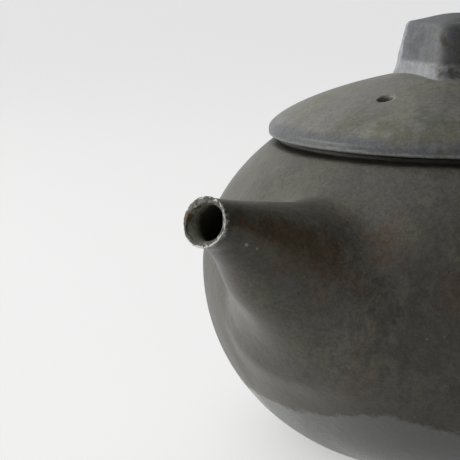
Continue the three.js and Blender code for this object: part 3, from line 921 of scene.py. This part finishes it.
def bake(piece, tree, identifiers, values):
    modifier = piece.modifiers.new(tree.name, "NODES")
    modifier.node_group = tree
    for label, value in values.items():
        modifier[identifiers[label]] = value
    return plainMesh(piece)


def strainerTree():
    tree, start, end, ids = newTree("strainer holes", [
        ("Hole radius", "NodeSocketFloat", 0.0008), ("Hole sides", "NodeSocketInt", 14),
        ("Needle length", "NodeSocketFloat", 0.006), ("Dome radius", "NodeSocketFloat", 0.015),
        ("Rings", "NodeSocketInt", 3), ("Spread", "NodeSocketFloat", 0.9),
        ("Material", "NodeSocketMaterial", None)])

    def calc(operation, a, b=0.0):
        return mathNode(tree, operation, a, b)

    def add(kind, settings=None, **inputs):
        # a node with its settings, and with outputs linked into its named inputs
        node = addNode(tree, kind, **(settings or {}))
        for label, output in inputs.items():
            tree.links.new(output, node.inputs[label.replace("_", " ")])
        return node

    # ring k has 6 k holes, round one in the middle: 3 k (k + 1) + 1 in all
    rings = start.outputs["Rings"]
    total = calc("ADD", calc("MULTIPLY", calc("MULTIPLY", rings, 3), calc("ADD", rings, 1)), 1)
    points = add("GeometryNodePoints", Count=total)
    # the same sum turned round gives each hole its ring, and then its place in the ring
    index = add("GeometryNodeInputIndex").outputs[0]
    root = calc("SQRT", calc("ADD", calc("MULTIPLY", index, 12), 9))
    ring = calc("MAXIMUM", calc("CEIL", calc("DIVIDE", calc("SUBTRACT", root, 3.001), 6)), 0)
    first = calc("MULTIPLY", calc("MULTIPLY", ring, 3), calc("SUBTRACT", ring, 1))
    inRing = calc("SUBTRACT", index, calc("ADD", first, 1))
    around = calc("DIVIDE", calc("ADD", inRing, calc("DIVIDE", ring, 2)),
                  calc("MAXIMUM", calc("MULTIPLY", ring, 6), 1))
    around = calc("MULTIPLY", around, 2 * math.pi)
    lean = calc("MULTIPLY", calc("DIVIDE", ring, rings), start.outputs["Spread"])
    direction = add("ShaderNodeCombineXYZ", X=calc("MULTIPLY", calc("SINE", lean), calc("COSINE", around)),
                    Y=calc("MULTIPLY", calc("SINE", lean), calc("SINE", around)),
                    Z=calc("MULTIPLY", calc("COSINE", lean), -1)).outputs[0]
    place = add("ShaderNodeVectorMath", {"operation": "SCALE"}, Vector=direction,
                Scale=start.outputs["Dome radius"])
    setPlace = add("GeometryNodeSetPosition", Geometry=points.outputs[0], Position=place.outputs[0])
    aim = add("FunctionNodeAlignRotationToVector", {"axis": "Z"}, Vector=direction)
    # a needle at every hole, taken out of the dome together
    needle = add("GeometryNodeMeshCylinder", Vertices=start.outputs["Hole sides"],
                 Depth=start.outputs["Needle length"], Radius=start.outputs["Hole radius"])
    copies = add("GeometryNodeInstanceOnPoints", Points=setPlace.outputs[0], Instance=needle.outputs["Mesh"],
                 Rotation=aim.outputs[0])
    real = add("GeometryNodeRealizeInstances", Geometry=copies.outputs[0])
    cut = add("GeometryNodeMeshBoolean", {"operation": "DIFFERENCE", "solver": "EXACT"},
              Mesh_1=start.outputs["Geometry"], Mesh_2=real.outputs[0])
    last = add("GeometryNodeRealizeInstances", Geometry=cut.outputs["Mesh"])
    paint = add("GeometryNodeSetMaterial", Geometry=last.outputs[0], Material=start.outputs["Material"])
    tree.links.new(paint.outputs[0], end.inputs[0])
    return tree, ids


def makeStrainer():
    s = strainerSizes
    outer, inner = s["radius"], s["radius"] - s["wall"]
    seat = bodySizes["radius"] - bodySizes["wall"]
    centre = np.array((-seat, 0, spoutAxisHeight(seat)))
    rise = math.radians(spoutSizes["rise"])
    along = np.array((-math.cos(rise), 0, math.sin(rise)))
    across = np.array((-math.sin(rise), 0, -math.cos(rise)))
    side = np.cross(along, across)
    # half ball about -Z, pierced there, then set in its place on the wall
    profile = arcPoints(0, 0, outer, s["poleAngle"], s["edgeAngle"] - 90, 34)
    profile += arcPoints(0, 0, inner, s["edgeAngle"] - 90, s["poleAngle"], 32)
    rings = turnedRings(profile, s["around"])
    mesh = meshFromRings("strainer", rings, ((0, 0, -outer), (0, 0, -inner)))
    piece = addPiece("strainer", mesh, [burnishedClay])
    tree, ids = strainerTree()
    pierced = bake(piece, tree, ids, {
        "Hole radius": s["hole"] * mm, "Hole sides": s["holeSides"], "Needle length": s["needle"] * mm,
        "Dome radius": (outer - s["wall"] / 2) * mm, "Rings": s["rings"],
        "Spread": math.radians(s["spread"]), "Material": burnishedClay})
    local = np.array([v.co[:] for v in pierced.vertices])
    placed = centre * mm + local[:, :1] * across + local[:, 1:2] * side + local[:, 2:] * along
    # the dome's edge is pressed on to the inside of the wall
    r = np.hypot(placed[:, 0], placed[:, 1])
    limit = bodyRadius(placed[:, 2] / mm, bodySizes["wall"] + s["pressedIn"]) * mm
    pull = np.minimum(1, limit / np.maximum(r, 1e-9))
    placed[:, :2] *= pull[:, None]
    for vertex, place in zip(pierced.vertices, placed):
        vertex.co = place
    piece.data = pierced
    for face in pierced.polygons:
        face.use_smooth = False
    return piece


strainer = makeStrainer()
print("strainer made", len(strainer.data.polygons))


# The lid: a shallow dome with an upright edge, a ring that drops into the mouth, and a square knob

lidSizes = {
    "bottom": 70.3, "radius": 42.8, "edge": 1.8, "domeRise": 13.8, "domePower": 1.474, "wall": 3.2,
    "underRadius": 32.5, "underPower": 1.75, "edgeRound": 0.55, "around": 192,
    "uneven": (0.04, 11, 0.08),  # waves to the millimetre, seed, depth
    # the steam vent, and how much wider it is at heights from the dome's surface
    "ventRadius": 1.6, "ventDistance": 27.7, "ventAngle": 178.4, "ventSides": 48,
    "ventFlare": [(0, -9), (0, -0.9), (0.12, -0.45), (0.3, 0.1), (1.0, 0.6), (1.0, 5)],
}
lidCrown = lidSizes["bottom"] + lidSizes["edge"] + lidSizes["domeRise"]


def domeHeight(r):
    s = lidSizes
    share = np.clip(np.asarray(r, float) / s["radius"], 0, 1) ** s["domePower"]
    return s["bottom"] + s["edge"] + s["domeRise"] * (1 - share) ** (1 / s["domePower"])


def makeLidDome():
    s = lidSizes
    top, rim = s["bottom"] + s["edge"], s["edgeRound"]
    profile = ovalPoints(s["underRadius"], s["bottom"], lidCrown - s["bottom"] - s["wall"], s["underPower"],
                         np.linspace(84, 0, 34))
    profile += [[r, s["bottom"]] for r in np.linspace(s["underRadius"] + 1, s["radius"] - 0.9, 8)]
    profile += arcPoints(s["radius"] - rim, s["bottom"] + rim, rim, -80, 0, 6)
    profile += [[s["radius"], z] for z in np.linspace(s["bottom"] + 0.8, top - 0.25, 4)]
    profile += ovalPoints(s["radius"], top, s["domeRise"], s["domePower"],
                          np.concatenate([np.linspace(1.5, 12, 8), np.linspace(15, 88, 46)]))
    rings = turnedRings(profile, s["around"])
    rings[..., 2] -= wobble(rings, s["uneven"]) * (rings[..., 2] > s["bottom"] + 1)
    mesh = meshFromRings("lidDome", rings, ((0, 0, lidCrown - s["wall"]), (0, 0, lidCrown)))
    piece = addPiece("lidDome", mesh, [lidClay])
    # the steam vent, pushed through from above and a little wider at its mouth
    angle, distance = math.radians(s["ventAngle"]), s["ventDistance"]
    profile = [[s["ventRadius"] + wider, z] for wider, z in s["ventFlare"]]
    ends = ((0, 0, profile[0][1]), (0, 0, profile[-1][1]))
    needle = meshFromRings("needle", turnedRings(profile, s["ventSides"]), ends)
    tool = addPiece("needle", needle, [])
    slope = math.atan2(float(domeHeight(distance - 0.5) - domeHeight(distance + 0.5)), 1.0)
    up = Vector((math.sin(slope) * math.cos(angle), math.sin(slope) * math.sin(angle), math.cos(slope)))
    needle.transform(up.to_track_quat("Z", "Y").to_matrix().to_4x4())
    place = Vector((distance * math.cos(angle), distance * math.sin(angle), float(domeHeight(distance))))
    for vertex in needle.vertices:
        vertex.co += place * mm
    cutAway(piece, tool)
    return piece


lidDome = makeLidDome()
print("lid dome made", len(lidDome.data.vertices))


ringSizes = {
    "outer": 35.9, "wall": 3.0, "depth": 8.5, "top": 70.0, "innerRound": 0.8, "outerRound": 0.9,
    "drawIn": 0.2, "drawHeight": 2.5,  # the outside draws in a little towards the bottom
    "around": 160,
}


def makeLidRing():
    s = ringSizes
    inner = s["outer"] - s["wall"]
    bottom = s["top"] - s["depth"]
    inside, outside = s["innerRound"], s["outerRound"]
    profile = [[inner, s["top"]], [inner, bottom + 1.0]]
    profile += arcPoints(inner + inside, bottom + inside, inside, 180, 265, 6)
    profile += arcPoints(s["outer"] - outside - s["drawIn"], bottom + outside, outside, -85, -5, 6)
    profile += [[s["outer"] - s["drawIn"] / 2, bottom + s["drawHeight"]], [s["outer"], s["top"] - 1],
                [s["outer"], s["top"]]]
    mesh = meshFromRings("lidRing", turnedRings(profile, s["around"]))
    return addPiece("lidRing", mesh, [lidClay])


lidRing = makeLidRing()
print("lid ring made", len(lidRing.data.vertices))


knobSizes = {
    "foot": 25.0, "base": 22.5, "top": 20.0, "rise": 10.2, "dome": 1.85, "domePower": 2.1, "corner": 2.8,
    "turn": -27.6, "around": 120, "edgeRound": 1.5, "edgeDrop": 0.2, "uneven": (0.09, 21, 0.3),
    # the foot: its height, how far it sinks into the dome, and how level its top is
    "footRise": 2.6, "footSink": 0.25, "footBend": 0.9, "footDrop": 0.2, "footLevel": 0.8, "root": 3.0,
}


def squareRing(side, corner, around):
    # a rounded square, its points spread evenly by angle from the middle
    half = side / 2
    # 2 is a circle, and the smaller the corner, the nearer to a true square
    power = 2 + 7 * (1 - min(corner, half) / half) ** 1.5
    points = []
    for angle in np.linspace(0, 2 * math.pi, around, endpoint=False):
        c, d = abs(math.cos(angle)), abs(math.sin(angle))
        reach = half / (c ** power + d ** power) ** (1 / power)
        points.append([reach * math.cos(angle), reach * math.sin(angle)])
    return np.array(points)


def makeKnob():
    s = knobSizes
    edge = lidCrown + s["rise"] - s["edgeDrop"]
    side = edge - s["edgeRound"]
    turn = math.radians(s["turn"])
    spin = np.array([[math.cos(turn), -math.sin(turn)], [math.sin(turn), math.cos(turn)]])
    rings = []

    def place(flat, z):
        z = np.broadcast_to(z, len(flat)).reshape(-1, 1)
        rings.append(np.concatenate([flat @ spin.T, z], axis=1))

    # the foot follows the dome and sweeps up into the sides
    for t in np.linspace(0, 1, 12):
        a = t * math.pi / 2
        width = s["foot"] - (s["foot"] - s["base"]) * math.sin(a)
        flat = squareRing(width, s["corner"], s["around"])
        lift = s["footRise"] * (1 - math.cos(a))
        bent = domeHeight(np.hypot(flat[:, 0], flat[:, 1])) + lift * s["footBend"]
        level = lidCrown - s["footDrop"] + lift
        place(flat, bent - s["footSink"] + (level - bent) * smoothStep(t) * s["footLevel"])
    waist = rings[-1][:, 2].copy()
    for t in np.linspace(0, 1, 16)[1:]:
        width = s["base"] + (s["top"] - s["base"]) * t
        place(squareRing(width, s["corner"], s["around"]), waist + (side - waist) * t)
    # the rounded edge, and the softly domed top
    for t in np.linspace(0, 1, 10)[1:]:
        a = t * math.pi / 2
        width = s["top"] - 2 * s["edgeRound"] * (1 - math.cos(a))
        place(squareRing(width, s["corner"], s["around"]), side + s["edgeRound"] * math.sin(a))
    width = s["top"] - 2 * s["edgeRound"]
    for t in np.linspace(1, 0.05, 16)[1:]:
        flat = squareRing(width * t, s["corner"] * t + (1 - t) * width * t / 2 * 0.8, s["around"])
        u = np.abs(flat) / (width / 2)
        swell = (1 - u[:, 0] ** s["domePower"]) * (1 - u[:, 1] ** s["domePower"])
        place(flat, edge + s["dome"] * swell)
    rings = np.array(rings)
    rings[..., :2] -= unit(rings[..., :2]) * wobble(rings, s["uneven"])[..., None]
    mesh = meshFromRings("lidKnob", rings, ((0, 0, lidCrown - s["root"]), (0, 0, edge + s["dome"])))
    return addPiece("lidKnob", mesh, [knobClay])


lidKnob = makeKnob()
print("lid knob made", len(lidKnob.data.vertices))


# Each piece hides the model's part it stands for and rides on its body

for piece, node, bodyName, slotName in (
        (body, "body_shell", "pot", "stoneware"), (spout, "spout", "pot", "stoneware"),
        (strainer, "strainer", "pot", "stoneware"), (handle, "handle", "pot", "stoneware"),
        (lidRing, "lid_ring", "lid_ring", "lid_stoneware"), (lidDome, "lid_dome", "lid", "lid_stoneware"),
        (lidKnob, "lid_knob", "lid", "lid_stoneware")):
    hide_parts(node)
    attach(piece, bodyName)
print("pieces ride on their bodies")


# Floor, light and camera

floorLook = {
    "half": 40.0, "seen": (0.57, 0.575, 0.57), "bounce": (0.60, 0.60, 0.60), "glow": 0.40,
    "rough": 0.7, "shine": 0.1,
}


def makeFloor():
    half = floorLook["half"]
    corners = [(-half, -half, 0), (half, -half, 0), (half, half, 0), (-half, half, 0)]
    mesh = bpy.data.meshes.new("floor")
    mesh.from_pydata(corners, [], [(0, 1, 2, 3)])
    floor = bpy.data.objects.new("floor", mesh)
    bpy.context.scene.collection.objects.link(floor)
    material = bpy.data.materials.new("paleTable")
    material.use_nodes = True
    tree = material.node_tree
    shader = tree.nodes["Principled BSDF"]
    light = addNode(tree, "ShaderNodeLightPath")
    path = mathNode(tree, "MAXIMUM", light.outputs["Is Camera Ray"], light.outputs["Is Glossy Ray"])
    colour = mixColour(tree, path, floorLook["bounce"], floorLook["seen"])
    tree.links.new(colour, shader.inputs["Base Color"])
    shader.inputs["Roughness"].default_value = floorLook["rough"]
    shader.inputs["Specular IOR Level"].default_value = floorLook["shine"]
    shader.inputs["Emission Color"].default_value = (1, 1, 1, 1)
    tree.links.new(mathNode(tree, "MULTIPLY", path, floorLook["glow"]), shader.inputs["Emission Strength"])
    mesh.materials.append(material)


worldLook = {
    "towards": (-0.55, 0.80, 0.24), "from": -0.45, "to": 0.85, "low": 0.07, "high": 1.5,
    "seen": (0.86, 0.865, 0.86),
}


def makeWorld():
    look = worldLook
    world = bpy.data.worlds.new("studio")
    bpy.context.scene.world = world
    world.use_nodes = True
    tree = world.node_tree
    tree.nodes.clear()
    out = addNode(tree, "ShaderNodeOutputWorld")
    light = addNode(tree, "ShaderNodeBackground")
    seen = addNode(tree, "ShaderNodeBackground", Color=(*look["seen"], 1), Strength=1.0)
    direction = addNode(tree, "ShaderNodeTexCoord").outputs["Generated"]
    facing = addNode(tree, "ShaderNodeVectorMath", operation="DOT_PRODUCT")
    facing.inputs[1].default_value = Vector(look["towards"]).normalized()
    tree.links.new(direction, facing.inputs[0])
    strength = rangeOf(tree, facing.outputs["Value"], look["from"], look["to"], look["low"], look["high"])
    tree.links.new(strength, light.inputs["Strength"])
    mix = addNode(tree, "ShaderNodeMixShader")
    path = addNode(tree, "ShaderNodeLightPath")
    tree.links.new(path.outputs["Is Camera Ray"], mix.inputs[0])
    tree.links.new(light.outputs[0], mix.inputs[1])
    tree.links.new(seen.outputs[0], mix.inputs[2])
    tree.links.new(mix.outputs[0], out.inputs["Surface"])


lampList = [
    # name, place, energy, size, colour
    ("leftSoftbox", (-0.60, 0.66, 0.12), 5.8, 0.6, (1.0, 0.99, 0.97)),
    ("topSoftbox", (-0.20, 0.30, 0.70), 0.55, 0.7, (1.0, 1.0, 1.0)),
]
lampAim = (0, 0, 0.045)


def makeLamps():
    for name, place, energy, size, colour in lampList:
        data = bpy.data.lights.new(name, "AREA")
        data.energy = energy
        data.size = size
        data.color = colour
        lamp = bpy.data.objects.new(name, data)
        lamp.location = place
        aim = Vector(lampAim) - Vector(place)
        lamp.rotation_euler = aim.to_track_quat("-Z", "Y").to_euler()
        bpy.context.scene.collection.objects.link(lamp)


cameraPlace = {"position": (-284.06, -175.42, 110.17), "azimuth": -49.4, "elevation": 10.67, "view": 18.0}


def makeCamera():
    data = bpy.data.cameras.new("camera")
    data.sensor_width = 36
    data.sensor_fit = "HORIZONTAL"
    data.angle = math.radians(cameraPlace["view"])
    data.clip_start = 0.01
    data.clip_end = 100
    camera = bpy.data.objects.new("camera", data)
    camera.location = Vector(cameraPlace["position"]) * mm
    a, e = math.radians(cameraPlace["azimuth"]), math.radians(cameraPlace["elevation"])
    look = Vector((-math.sin(a) * math.cos(e), math.cos(a) * math.cos(e), -math.sin(e)))
    camera.rotation_euler = look.to_track_quat("-Z", "Y").to_euler()
    bpy.context.scene.collection.objects.link(camera)
    bpy.context.scene.camera = camera


makeFloor()
makeWorld()
makeLamps()
makeCamera()
bpy.context.scene.view_settings.view_transform = "Standard"
